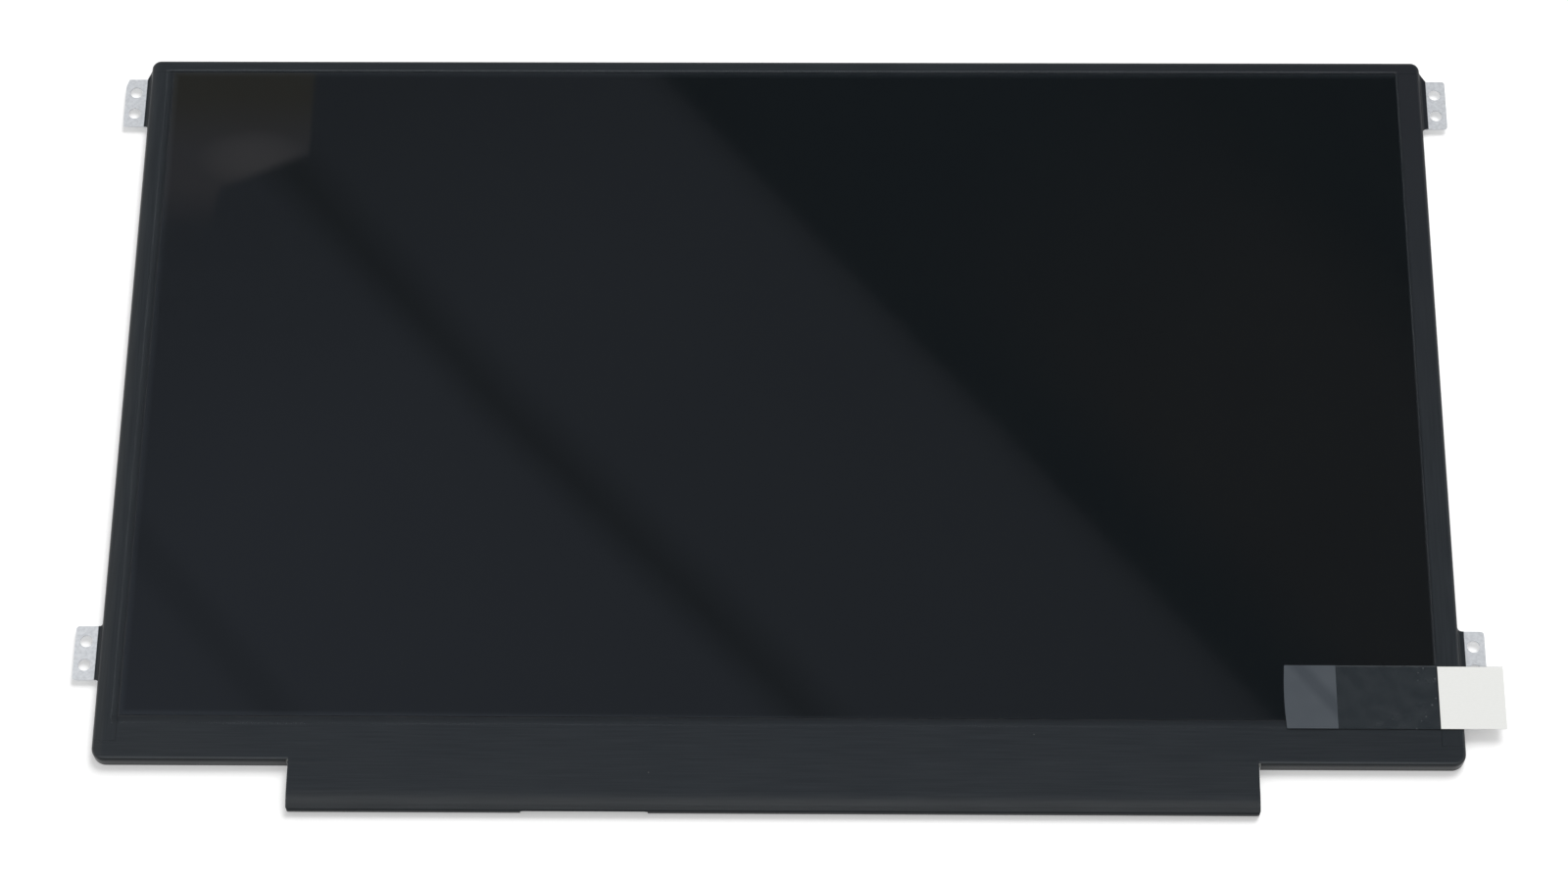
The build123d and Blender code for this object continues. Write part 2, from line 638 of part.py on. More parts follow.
with BuildPart() as bottom_film:
    add(skin.part)
    with BuildSketch():
        with Locations((0, side_tape_bottom)):
            Rectangle(body_w, body_h, align=(Align.CENTER, Align.MAX))
        with Locations((0, active_y)):
            Rectangle(opening_w, body_h, align=(Align.CENTER, Align.MAX))
    extrude(amount=2 * tape_top, mode=Mode.INTERSECT)
    with BuildSketch():
        with Locations((FLAP_X, crease_y + CREASE_INSET / 2)):
            Rectangle(FLAP_W, body_h, align=(Align.CENTER, Align.MAX))
        with Locations((FLAP_X, -half_h + SLIT_DEPTH)):
            Rectangle(FLAP_W + 2 * RELIEF, body_h, align=(Align.CENTER, Align.MAX))
    extrude(amount=2 * tape_top, mode=Mode.SUBTRACT)
    add(flap_wrap.part)
    with BuildSketch():
        with Locations((socket_x, flap_bottom)):
            Polygon((-NOTCH_W / 2, -FLAP_REACH), (NOTCH_W / 2, -FLAP_REACH), (NOTCH_W / 2, 0),
                    (NOTCH_W / 2 - NOTCH_SLOPE, NOTCH_DEPTH), (NOTCH_SLOPE - NOTCH_W / 2, NOTCH_DEPTH),
                    (-NOTCH_W / 2, 0), align=None)
    extrude(amount=2 * tape_top, mode=Mode.SUBTRACT)
    with BuildSketch():
        with Locations((socket_x, flap_bottom)):
            Rectangle(NOTCH_W, 2 * (SOCKET_DEPTH + BOARD_EDGE_GAP))
    extrude(amount=board_z, mode=Mode.SUBTRACT)
bottom_film.part.label = "bottom_film"
export_step(bottom_film.part, "parts/bottom_film.step")

# Circuit board, level with the array glass so that the flexes lie flat
with BuildPart() as circuit_board:
    with BuildSketch(Plane.XY.offset(board_z)):
        with Locations((FLAP_X, board_y)):
            RectangleRounded(board_w, board_top_y - board_bottom_y, BOARD_CORNER_R)
    extrude(amount=BOARD_T)
circuit_board.part.label = "circuit_board"
export_step(circuit_board.part, "parts/circuit_board.step")

# Source flexes from the glass to the board, each with a driver chip
flex_top = array_bottom + FLEX_BOND
flex_bottom = board_top_y - FLEX_BOARD_BOND
for i in range(FLEX_COUNT):
    flex_x = FLAP_X + (i - (FLEX_COUNT - 1) / 2) * flex_pitch
    with BuildPart() as source_flex:
        with BuildSketch(Plane.XY.offset(board_top)):
            with BuildLine(Plane.XY.offset(board_top)):
                Polyline((flex_x - FLEX_W / 2, flex_top), (flex_x + FLEX_W / 2, flex_top),
                         (flex_x + FLEX_W / 2, array_bottom), (flex_x + FLEX_NARROW_W / 2, board_top_y),
                         (flex_x + FLEX_NARROW_W / 2, flex_bottom), (flex_x - FLEX_NARROW_W / 2, flex_bottom),
                         (flex_x - FLEX_NARROW_W / 2, board_top_y), (flex_x - FLEX_W / 2, array_bottom),
                         close=True)
            make_face()
        extrude(amount=FLEX_T)
    source_flex.part.label = f"source_flex_{i + 1}"
    export_step(source_flex.part, f"parts/source_flex_{i + 1}.step")

    with BuildPart() as driver_chip:
        with Locations((flex_x, (array_bottom + board_top_y) / 2, board_top + FLEX_T)):
            Box(DRIVER_L, DRIVER_W, DRIVER_T, align=(Align.CENTER, Align.CENTER, Align.MIN))
    driver_chip.part.label = f"driver_chip_{i + 1}"
    export_step(driver_chip.part, f"parts/driver_chip_{i + 1}.step")

# Chips on the back of the board
bias_chip_x = FLAP_X + BIAS_CHIP_X
led_chip_x = led_tail_x - LED_CHIP_INSET
chips = [
    ("timing_controller", FLAP_X + CONTROLLER_X, CONTROLLER_W, CONTROLLER_W, CONTROLLER_T),
    ("bias_chip", bias_chip_x, BIAS_CHIP_W, BIAS_CHIP_W, CHIP_T),
    ("led_driver_chip", led_chip_x, LED_CHIP_W, LED_CHIP_W, CHIP_T),
    ("memory_chip", FLAP_X + MEMORY_X, MEMORY_L, MEMORY_W, MEMORY_T),
    ("fuse", socket_x - SOCKET_W / 2 - FUSE_INSET, FUSE_L, FUSE_W, FUSE_T),
]
for chip_name, chip_x, chip_l, chip_w, chip_t in chips:
    with BuildPart() as chip:
        with Locations((chip_x, board_y, board_z)):
            Box(chip_l, chip_w, chip_t, align=(Align.CENTER, Align.CENTER, Align.MAX))
        chamfer(chip.faces().sort_by(Axis.Z)[0].edges(), CHIP_CHAMFER)
    chip.part.label = chip_name
    export_step(chip.part, f"parts/{chip_name}.step")

# Power coils beside the chips that drive them
bias_coil_x = bias_chip_x + BIAS_CHIP_W / 2 + COIL_GAP + COIL_W / 2
led_coil_x = led_chip_x - LED_CHIP_W / 2 - COIL_GAP - COIL_W / 2
coils = [("bias_coil", bias_coil_x), ("led_coil", led_coil_x)]
for coil_name, coil_x in coils:
    with BuildPart() as coil:
        with BuildSketch(Plane.XY.offset(board_z)):
            with Locations((coil_x, board_y)):
                RectangleRounded(COIL_W, COIL_W, COIL_CORNER_R)
        extrude(amount=-COIL_T)
        chamfer(coil.faces().sort_by(Axis.Z)[0].edges(), CHIP_CHAMFER)
    coil.part.label = coil_name
    export_step(coil.part, f"parts/{coil_name}.step")

# Capacitors: blocks of ceramic chips in two rows, each block standing off the part beside it
cap_blocks = [
    (socket_x + SOCKET_W / 2 + CAP_ROW_GAP, CAP_COLUMNS),
    (bias_coil_x + COIL_W / 2 + CAP_ROW_GAP, CAP_COLUMNS),
    (led_chip_x + LED_CHIP_W / 2 + CAP_ROW_GAP, LED_CAP_COLUMNS),
]
with BuildPart() as capacitors:
    for block_x, columns in cap_blocks:
        with Locations((block_x + (columns - 1) * CAP_PITCH / 2, board_y, board_z)):
            with GridLocations(CAP_PITCH, CAP_ROW_PITCH, columns, CAP_ROWS):
                Box(CAP_W, CAP_L, CAP_T, align=(Align.CENTER, Align.CENTER, Align.MAX))
capacitors.part.label = "capacitors"
export_step(capacitors.part, "parts/capacitors.step")

# Cable socket on the back of the board, its mouth at the board's lower edge
mouth_y = board_bottom_y - SOCKET_OVERHANG
socket_back = mouth_y + SOCKET_DEPTH
tongue_w = SOCKET_W - 2 * SOCKET_TONGUE_MARGIN
tongue_z = board_z - SOCKET_T / 2
with BuildPart() as socket_shell:
    with Locations((socket_x, mouth_y, board_z)):
        Box(SOCKET_W, SOCKET_DEPTH, SOCKET_T, align=(Align.CENTER, Align.MIN, Align.MAX))
    with Locations((socket_x, mouth_y, board_z - SOCKET_WALL)):
        Box(SOCKET_W - 2 * SOCKET_WALL, SOCKET_DEPTH, SOCKET_T - 2 * SOCKET_WALL,
            align=(Align.CENTER, Align.MIN, Align.MAX), mode=Mode.SUBTRACT)
socket_shell.part.label = "socket_shell"
export_step(socket_shell.part, "parts/socket_shell.step")

with BuildPart() as socket_housing:
    with Locations((socket_x, socket_back, board_z - SOCKET_WALL)):
        Box(SOCKET_W - 2 * SOCKET_WALL, SOCKET_BLOCK_DEPTH, SOCKET_T - 2 * SOCKET_WALL,
            align=(Align.CENTER, Align.MAX, Align.MAX))
    with Locations((socket_x, socket_back, tongue_z)):
        Box(tongue_w, SOCKET_DEPTH - SOCKET_OVERHANG, SOCKET_TONGUE_T,
            align=(Align.CENTER, Align.MAX, Align.CENTER))
socket_housing.part.label = "socket_housing"
export_step(socket_housing.part, "parts/socket_housing.step")

with BuildPart() as socket_contacts:
    with Locations((socket_x, socket_back - SOCKET_BLOCK_DEPTH, tongue_z - SOCKET_TONGUE_T / 2)):
        with GridLocations(CONTACT_PITCH, CONTACT_PITCH, CONTACT_COUNT, 1):
            Box(CONTACT_W, SOCKET_DEPTH - SOCKET_BLOCK_DEPTH - 2 * SOCKET_OVERHANG, CONTACT_T,
                align=(Align.CENTER, Align.MAX, Align.MAX))
    with Locations((socket_x, socket_back, board_z)):
        with GridLocations(CONTACT_PITCH, CONTACT_PITCH, CONTACT_COUNT, 1):
            Box(CONTACT_W, CONTACT_TAIL, CONTACT_T, align=(Align.CENTER, Align.MIN, Align.MAX))
socket_contacts.part.label = "socket_contacts"
export_step(socket_contacts.part, "parts/socket_contacts.step")

# Protective film: flat on the polarizer, its margins dropping to the tapes
film_left = -polarizer_w / 2 - FILM_LEFT
film_right = polarizer_w / 2 + FILM_RIGHT
film_bottom = active_y - polarizer_h / 2 - FILM_BOTTOM
film_top = active_y + polarizer_h / 2 + FILM_TOP
film_mid = ((film_left + film_right) / 2, (film_bottom + film_top) / 2)
with BuildPart() as protective_film:
    with BuildSketch(Plane.XY.offset(film_low)):
        with Locations(film_mid):
            Rectangle(film_right - film_left, film_top - film_bottom)
    extrude(amount=FILM_T)
    with BuildSketch(Plane.XY.offset(film_low + FILM_T)):
        with Locations(film_mid):
            Rectangle(film_right - film_left, film_top - film_bottom)
    with BuildSketch(Plane.XY.offset(film_high + FILM_T)):
        with Locations((0, active_y)):
            Rectangle(polarizer_w, polarizer_h)
    loft(ruled=True)
    with BuildSketch(Plane.XY.offset(film_low)):
        with Locations(film_mid):
            Rectangle(film_right - film_left, film_top - film_bottom)
    with BuildSketch(Plane.XY.offset(film_high)):
        with Locations((0, active_y)):
            Rectangle(polarizer_w, polarizer_h)
    loft(ruled=True, mode=Mode.SUBTRACT)
protective_film.part.label = "protective_film"
export_step(protective_film.part, "parts/protective_film.step")

# Pull tab at the film's lower right corner: a clear strip, a grey patch at its bowed left end, a white grip
strip_right = half_w + STRIP_OVERHANG
strip_left = strip_right - STRIP_L
tab_low = film_bottom - STRIP_DROP
tab_high = tab_low + STRIP_H
tab_mid = (tab_low + tab_high) / 2


def tab_piece(level, thickness, left, right, high, bow):
    """A flat length of the tab from its lower edge up, its left edge bowed out."""
    with BuildPart() as piece:
        with BuildSketch(Plane.XY.offset(level)) as plan:
            with Locations((left, tab_low)):
                Rectangle(right - left, high - tab_low, align=(Align.MIN, Align.MIN))
            if bow:
                with BuildLine():
                    ThreePointArc((left, tab_low), (left - bow, tab_mid), (left, high))
                    Line((left, high), (left, tab_low))
                make_face()
            else:
                fillet(plan.vertices().group_by(Axis.X)[-1], STRIP_CORNER_R)
        extrude(amount=thickness)
    return piece.part


with BuildPart() as tab_strip:
    add(tab_piece(strip_z, STRIP_T, strip_left, strip_right, tab_high, STRIP_BOW))
tab_strip.part.label = "tab_strip"
export_step(tab_strip.part, "parts/tab_strip.step")

with BuildPart() as tab_patch:
    add(tab_piece(on_strip_z, PATCH_T, strip_left, strip_left + PATCH_L, tab_high, STRIP_BOW))
tab_patch.part.label = "tab_patch"
export_step(tab_patch.part, "parts/tab_patch.step")

with BuildPart() as tab_grip:
    add(tab_piece(on_strip_z, GRIP_T, strip_right - GRIP_L, strip_right, tab_high - GRIP_SETBACK, 0.0))
tab_grip.part.label = "tab_grip"
export_step(tab_grip.part, "parts/tab_grip.step")
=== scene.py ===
# A slim laptop screen panel lying on its back on a white table, seen from above its lower edge.
# Lengths are in metres in the CAD's frame: +X to the right of the screen, +Y to its top, +Z out of it.
import json
import math

import bpy
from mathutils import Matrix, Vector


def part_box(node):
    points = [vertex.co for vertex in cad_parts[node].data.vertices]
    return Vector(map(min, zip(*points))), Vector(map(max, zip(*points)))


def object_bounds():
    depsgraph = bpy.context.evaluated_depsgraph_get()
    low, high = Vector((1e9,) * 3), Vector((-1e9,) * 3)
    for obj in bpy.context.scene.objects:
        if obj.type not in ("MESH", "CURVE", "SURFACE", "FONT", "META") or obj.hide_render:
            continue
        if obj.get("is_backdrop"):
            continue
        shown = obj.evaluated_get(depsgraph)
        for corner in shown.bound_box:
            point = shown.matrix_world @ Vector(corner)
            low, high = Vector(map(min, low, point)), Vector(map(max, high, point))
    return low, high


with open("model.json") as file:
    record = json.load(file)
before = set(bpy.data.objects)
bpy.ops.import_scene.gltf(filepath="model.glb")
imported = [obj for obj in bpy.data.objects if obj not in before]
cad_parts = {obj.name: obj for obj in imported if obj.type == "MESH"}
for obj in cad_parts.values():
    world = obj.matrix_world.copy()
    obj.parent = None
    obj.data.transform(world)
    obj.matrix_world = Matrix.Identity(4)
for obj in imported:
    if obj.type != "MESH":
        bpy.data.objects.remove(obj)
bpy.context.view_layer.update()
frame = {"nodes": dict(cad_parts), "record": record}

MM = 0.001
BLACK = (0.0, 0.0, 0.0)
WHITE = (1.0, 1.0, 1.0)

# Camera, found from the module's outline in the photograph
CAMERA_PLACE = (0.01223, -0.33451, 0.70789)
CAMERA_TURN = (24.748, 0.691, 0.522)  # degrees
CAMERA_LENS = 88.25  # mm
CAMERA_SENSOR = 36.0  # mm
CAMERA_NEAR = 0.01  # nothing nearer is shown

# Light
SKY = 0.48  # even light from all round
KEY_FROM = (0.36, 0.80, 1.1)  # direction of the lamp, behind the panel and to its right
KEY_DISTANCE = 2.2
KEY_SIZE = 1.2
KEY_POWER = 37.0

# Table
FLOOR_HALF = 4.0
FLOOR_Z = -0.02 * MM  # just clear of the rear face
FLOOR_COLOUR = (0.84, 0.84, 0.84)
FLOOR_ROUGH = 0.9
FLOOR_LIFT = 0.30  # what makes the table white to the eye

# Ceiling that the screen mirrors: a card that only reflections see, with bands across it
CARD_HEIGHT = 1.0
CARD_TURN = -50.0  # degrees, direction of the bands
CARD_ALONG = (-1.20, 0.30)
CARD_ACROSS = (-0.12, 1.10)
LIT = (0.90, 1.0, 1.30)  # tints of the bands
DIM = (0.75, 1.0, 1.50)
CARD_BANDS = (  # place across the bands, brightness, tint
    (-0.053, 0.40, LIT), (-0.009, 0.36, LIT), (-0.001, 0.30, LIT), (0.007, 0.30, LIT), (0.017, 0.36, LIT),
    (0.087, 0.34, LIT), (0.165, 0.31, LIT), (0.182, 0.165, LIT), (0.203, 0.28, LIT), (0.277, 0.27, LIT),
    (0.347, 0.25, LIT), (0.357, 0.20, LIT), (0.364, 0.085, DIM), (0.379, 0.085, DIM), (0.402, 0.09, DIM),
    (0.527, 0.085, DIM), (0.562, 0.070, DIM),
)
BEND_ALONG = (-0.46, -0.26)  # where the dark stripe turns aside a little, and by how much
BEND = 0.0125
BEND_RISE = (0.09, 0.15)  # across the bands, where the turning sets in and where it eases
BEND_FALL = (0.21, 0.33)
BEND_BEYOND = 0.2  # share of it that the dark side's edge follows
FADE_ALONG = (-0.65, -0.50)  # where the bands dim towards their far end
FADE = 0.79
GLOW = (0.050, 0.026, 0.010)  # warm light on the dark side of the ceiling
GLOW_ALONG = (-0.42, -0.26)
GLOW_RISE = (0.377, 0.417)
GLOW_FALL = (0.527, 0.577)

# Something warm-coloured beside the ceiling, mirrored in the screen's far left corner
CORNER_HEIGHT = 0.98
CORNER_X = (-0.50, -0.254)
CORNER_Y = (0.50, 0.85)
CORNER_EDGE = ((-0.301, 0.566), (-0.297, 0.578), (-0.254, 0.598))  # its lower edge, from left to right
CORNER_SOFT = (0.012, 0.003)  # half the width that the edge fades over, at its left and from there on
CORNER_WARM = (0.34, 0.315, 0.275)  # at the top
CORNER_GREY = (0.42, 0.41, 0.47)  # below
CORNER_TURN = (0.630, 0.600)  # y from one to the other
CORNER_PALE = (0.64, 0.615, 0.66)  # bright spot
CORNER_SPOT = (-0.282, 0.595)
CORNER_SPOT_SIZE = (0.029, 0.017)

# Cards in front of the panel that only its bent edges mirror: a strip of light and the dark below it
FRONT_X = (-1.6, 1.6)
FRONT_CARDS = (  # name, brightness, and y and z of the near and the far edge
    ("light_strip", 2.0, (-0.48, 0.95), (-0.14, 0.95)),
    ("front_card", 0.34, (-1.60, 0.0), (-0.48, 0.95)),
)

# The module's outline, and places on it
MODULE_LEFT = -134.0 * MM
MODULE_BOTTOM = -78.75 * MM
MODULE_TOP = 78.75 * MM
FLAP_WRAP = 0.75 * MM  # black film beyond the circuit board at the flap's ends
GRIP_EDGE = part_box("tab_grip")[0][0]
FILM_LOW, FILM_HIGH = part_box("protective_film")
SCREEN_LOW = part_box("front_polarizer")[0]
board_low, board_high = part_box("circuit_board")
FLAP_X = (board_low[0] + board_high[0]) / 2
FLAP_HALF = (board_high[0] - board_low[0]) / 2 + FLAP_WRAP

# Where most of a noise's values lie
NOISE_CORE = (0.35, 0.65)
NOISE_WIDE = (0.3, 0.7)


class Nodes:
    """A node tree with one shader, and short ways to add the nodes that feed it."""

    def __init__(self, tree, shader):
        self.tree = tree
        self.shader = tree.nodes[shader]

    def node(self, kind, inputs=None, **settings):
        """A new node with these settings, its inputs linked or set."""
        made = self.tree.nodes.new("ShaderNode" + kind)
        for key, value in settings.items():
            setattr(made, key, value)
        for key, value in (inputs or {}).items():
            self.feed(made.inputs[key], value)
        return made

    def feed(self, socket, value):
        """Links an output to the socket, or sets the socket's value."""
        if isinstance(value, bpy.types.NodeSocket):
            self.tree.links.new(value, socket)
        else:
            socket.default_value = (*value, 1.0) if socket.type == "RGBA" else value

    def give(self, name, value):
        """Feeds the shader's input of this name."""
        self.feed(self.shader.inputs[name], value)

    def math(self, operation, first, *others):
        """A number worked out from one value, or from several in turn."""
        for other in others or (0.0,):
            first = self.node("Math", {0: first, 1: other}, operation=operation).outputs[0]
        return first

    def off(self, value, middle):
        """How far the value lies from the middle, either way."""
        return self.math("ABSOLUTE", self.math("SUBTRACT", value, middle))

    def spread(self, value, start, end, low=0.0, high=1.0):
        """The value's range from start to end, taken to low and high and held there."""
        inputs = {"Value": value, "From Min": start, "From Max": end, "To Min": low, "To Max": high}
        return self.node("MapRange", inputs).outputs[0]

    def within(self, value, low, high):
        """1 where the value lies between the two limits, else 0."""
        over = self.math("GREATER_THAN", value, low)
        return self.math("MULTIPLY", over, self.math("LESS_THAN", value, high))

    def mix(self, share, first, second, **settings):
        """Two colours mixed by the share of the second."""
        inputs = {0: share, 6: first, 7: second}  # by number: sockets of other kinds share their names
        return self.node("Mix", inputs, data_type="RGBA", **settings).outputs[2]


class Finish(Nodes):
    """A material with one Principled shader, and the patterns that feed it."""

    SOCKETS = {"colour": "Base Color", "roughness": "Roughness", "metallic": "Metallic",
               "specular": "Specular IOR Level"}

    def __init__(self, name, **values):
        self.material = bpy.data.materials.new(name)
        self.material.use_nodes = True
        super().__init__(self.material.node_tree, "Principled BSDF")
        for key, value in values.items():
            self.give(self.SOCKETS[key], value)
        self.place = self.node("TexCoord").outputs["Object"]

    def axes(self):
        """The place's x and y."""
        return self.node("SeparateXYZ", {"Vector": self.place}).outputs[:2]

    def noise(self, size, detail=2.0, stretch=(1.0, 1.0, 1.0)):
        """Noise with features of about this size, longer along each axis by the stretch."""
        scale = [1.0 / (size * s) for s in stretch]
        spread = self.node("Mapping", {"Vector": self.place, "Scale": scale})
        return self.node("TexNoise", {"Vector": spread.outputs[0], "Scale": 1.0, "Detail": detail}).outputs[0]

    def specks(self, spacing, size, share):
        """Small round specks in a share of the cells of this spacing: 1 in their middle, 0 beyond them."""
        cells = self.node("TexVoronoi", {"Vector": self.place, "Scale": 1.0 / spacing}).outputs
        lot = self.node("SeparateColor", {"Color": cells["Color"]}).outputs[0]
        chosen = self.math("LESS_THAN", lot, share)
        return self.math("MULTIPLY", self.spread(cells["Distance"], size / spacing, 0.0), chosen)

    def colour(self, share, first, second):
        """Base colour between two colours."""
        self.give("Base Color", self.mix(share, first, second))

    def roughness(self, pattern, low, high):
        """Roughness between two values where a noise runs from dark to light."""
        self.give("Roughness", self.spread(pattern, *NOISE_WIDE, low, high))

    def bump(self, *layers):
        """Relief from (pattern, depth) layers."""
        normal = None
        for pattern, depth in layers:
            relief = self.node("Bump", {"Height": pattern, "Distance": depth, "Strength": 1.0})
            if normal:
                self.feed(relief.inputs["Normal"], normal)
            normal = relief.outputs[0]
        self.give("Normal", normal)

    def shine(self, colour, strength):
        """Light that the material gives off."""
        self.give("Emission Color", colour)
        self.give("Emission Strength", strength)


# Rear cover: rolled sheet
METAL_DARK = (0.64, 0.66, 0.68)
METAL_LIGHT = (0.76, 0.78, 0.80)
METAL_SHARE = 0.5  # how far it mirrors as a metal does
METAL_ROUGH = (0.42, 0.56)
MOTTLE = 0.7 * MM  # size and depth of the mottling
MOTTLE_H = 0.008 * MM
ROLLING = 0.12 * MM  # of the marks along the rolling direction
ROLLING_H = 0.004 * MM
ROLLING_STRETCH = (14.0, 1.0, 1.0)


def rolled_metal():
    """Thin rolled sheet, dull silver, faintly mottled along the rolling direction."""
    made = Finish("cover_metal", metallic=METAL_SHARE)
    mottle = made.noise(MOTTLE, detail=3.0)
    grain = made.noise(ROLLING, stretch=ROLLING_STRETCH)
    made.colour(made.spread(mottle, *NOISE_CORE), METAL_DARK, METAL_LIGHT)
    made.roughness(grain, *METAL_ROUGH)
    made.bump((grain, ROLLING_H), (mottle, MOTTLE_H))
    return made.material


# Black film of the tapes and the flap
TAPE_GLOSS = 0.25
TAPE_DARK = (0.0164, 0.0198, 0.0228)
TAPE_LIGHT = (0.0210, 0.0251, 0.0288)
TAPE_ROUGH = (0.285, 0.34)
GRAIN = 0.16 * MM  # size and depth of the fine grain
GRAIN_H = 0.003 * MM
DRAWN = 0.3 * MM  # of the streaks along the film
DRAWN_H = 0.004 * MM
DRAWN_LONG = 40.0
WAVES = 14.0 * MM  # and of its slow waves
WAVES_H = 0.06 * MM
FAR_SHADE_COLOUR = (0.0138, 0.0158, 0.0190)  # painted shade, darker towards the module's upper right corner
FAR_SHADE_X = (30.0 * MM, 130.0 * MM)
FAR_SHADE_Y = (-20.0 * MM, 70.0 * MM)
SHADE_COLOUR = (0.0110, 0.0135, 0.0155)  # under the clear film, beside the screen and below it
SHADE_LEFT = 0.3 * MM  # where the shading starts, from the clear film's edges
SHADE_BOTTOM = 0.2 * MM
FOLD_HIGHLIGHT_COLOUR = (0.050, 0.056, 0.061)  # painted highlight where it folds down over the top and bottom edges
TOP_FOLD_Y = (MODULE_TOP - 0.9 * MM, MODULE_TOP - 0.3 * MM)
TOP_FOLD_HIGHLIGHT = 0.35
BOTTOM_FOLD_Y = (MODULE_BOTTOM + 1.0 * MM, MODULE_BOTTOM + 0.75 * MM)
BOTTOM_FOLD_END_Y = (MODULE_BOTTOM + 0.25 * MM, MODULE_BOTTOM + 0.45 * MM)
BOTTOM_FOLD_HIGHLIGHT = 0.6
DUST = (5.0 * MM, 0.13 * MM, 0.10)  # spacing, size, share of the cells
DUST_COLOUR = (0.30, 0.30, 0.29)
DUST_SHARE = 0.6
CROWN_W = 2.4 * MM  # the film curls down along the left edge
CROWN_H = 0.42 * MM
LIP_W = 0.9 * MM  # and along the bottom edge
LIP_H = 0.20 * MM
CREASE_W = 0.7 * MM  # ridges that run in from the flap's ends
CREASE_L = 18.0 * MM
CREASE_H = 0.05 * MM


def under_film(made, x, y):
    """1 on black film that the clear film covers at the screen's left and bottom edges, fading outwards."""
    film_left, film_bottom, _ = FILM_LOW
    film_right, film_top, _ = FILM_HIGH
    screen_left, screen_bottom, _ = SCREEN_LOW
    by_left = made.math("MULTIPLY", made.spread(x, film_left + SHADE_LEFT, screen_left),
                        made.within(x, film_left, screen_left), made.within(y, film_bottom, film_top))
    by_bottom = made.math("MULTIPLY", made.spread(y, film_bottom + SHADE_BOTTOM, screen_bottom),
                          made.within(y, film_bottom, screen_bottom), made.within(x, film_left, film_right))
    return made.math("MAXIMUM", by_left, by_bottom)


def black_film(name, stretch):
    """Matt black film with a grain drawn along the stretch, curled down at the left and bottom edges; painted
    shade under the clear film and towards the upper right, and painted highlights where it folds over the top
    and bottom edges.
    """
    made = Finish(name, specular=TAPE_GLOSS)
    x, y = made.axes()
    grain = made.noise(GRAIN, detail=3.0)
    drawn = made.noise(DRAWN, stretch=stretch)
    waves = made.noise(WAVES, detail=1.0)
    from_flap = made.off(x, FLAP_X)
    on_flap = made.math("LESS_THAN", from_flap, FLAP_HALF)
    above_bottom = made.math("GREATER_THAN", y, MODULE_BOTTOM)
    beside_flap = made.math("MULTIPLY", above_bottom, made.math("SUBTRACT", 1.0, on_flap))

    streaked = made.mix(made.spread(drawn, *NOISE_CORE), TAPE_DARK, TAPE_LIGHT)
    # painted shade towards the module's upper right corner
    far = made.math("MULTIPLY", made.spread(x, *FAR_SHADE_X), made.spread(y, *FAR_SHADE_Y))
    shaded = made.mix(under_film(made, x, y), made.mix(far, streaked, FAR_SHADE_COLOUR), SHADE_COLOUR)
    # painted highlights where the film folds over the top and bottom edges
    top_highlight = made.spread(y, *TOP_FOLD_Y, 0.0, TOP_FOLD_HIGHLIGHT)
    bottom_highlight = made.math("MULTIPLY", made.spread(y, *BOTTOM_FOLD_Y, 0.0, BOTTOM_FOLD_HIGHLIGHT),
                            made.spread(y, *BOTTOM_FOLD_END_Y), beside_flap)
    highlighted = made.mix(made.math("MAXIMUM", top_highlight, bottom_highlight), shaded, FOLD_HIGHLIGHT_COLOUR)
    made.colour(made.math("MULTIPLY", made.specks(*DUST), DUST_SHARE), highlighted, DUST_COLOUR)
    made.roughness(waves, *TAPE_ROUGH)

    left = made.math("POWER", made.spread(x, MODULE_LEFT, MODULE_LEFT + CROWN_W, 1.0, 0.0), 2.0)
    bottom = made.math("POWER", made.spread(y, MODULE_BOTTOM, MODULE_BOTTOM + LIP_W, 1.0, 0.0), 2.0)
    bottom = made.math("MULTIPLY", bottom, beside_flap)
    inwards = made.math("SUBTRACT", FLAP_HALF, from_flap)
    crease = made.math("MULTIPLY", made.spread(inwards, 0.0, CREASE_L, 1.0, 0.0), on_flap,
                       made.spread(made.off(y, MODULE_BOTTOM), 0.0, CREASE_W, 1.0, 0.0))
    made.bump((left, -CROWN_H), (bottom, -LIP_H), (crease, CREASE_H),
              (waves, WAVES_H), (drawn, DRAWN_H), (grain, GRAIN_H))
    return made.material


# Screen face
SCREEN_DARK = (0.0042, 0.0053, 0.0053)
SCREEN_LIGHT = (0.0050, 0.0063, 0.0062)
SCREEN_CLOUD = 30.0 * MM
SCREEN_ROUGH = (0.015, 0.03)
MARGIN_SHEEN_COLOUR = (0.0118, 0.0142, 0.0158)  # painted reflection: lighter where the clear film lifts
MARGIN_LEFT = (0.0, 1.3 * MM)  # from the edge, where the margin is full and where it ends
MARGIN_TOP = (0.0, 1.2 * MM)
MARGIN_RIGHT = (0.15 * MM, 0.40 * MM)
FOOT_X = (-125.0 * MM, 60.0 * MM)  # the bottom margin narrows from its left end to nothing
FOOT_RISE = 0.95 * MM
FOOT_SOFT = 0.3 * MM  # half the width that it fades over


